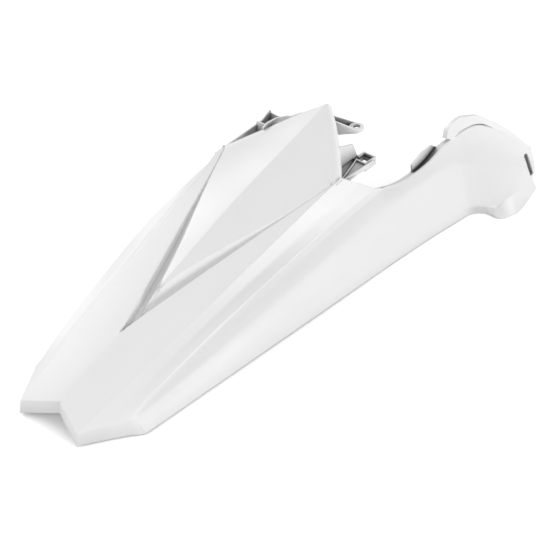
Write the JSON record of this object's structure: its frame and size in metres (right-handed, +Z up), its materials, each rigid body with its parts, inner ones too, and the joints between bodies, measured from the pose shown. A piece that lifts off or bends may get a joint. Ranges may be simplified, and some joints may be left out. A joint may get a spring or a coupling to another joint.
{
  "type": "motorcycle rear fender",
  "caption": "Moulded rear fender of an off-road motorcycle with a saddle, a tail and a flared right side panel.",
  "frame": {"origin": "middle of the part's box in X and Y, on the plane that its lower edges rest on", "axes": "+X forwards along the motorcycle, +Y to its left, +Z up"},
  "size_m": [0.8448, 0.31, 0.2309],
  "materials": {
    "white_plastic": "moulded white plastic with a soft gloss"
  },
  "bodies": {
    "root": {"fender": "white_plastic"}
  },
  "joints": []
}
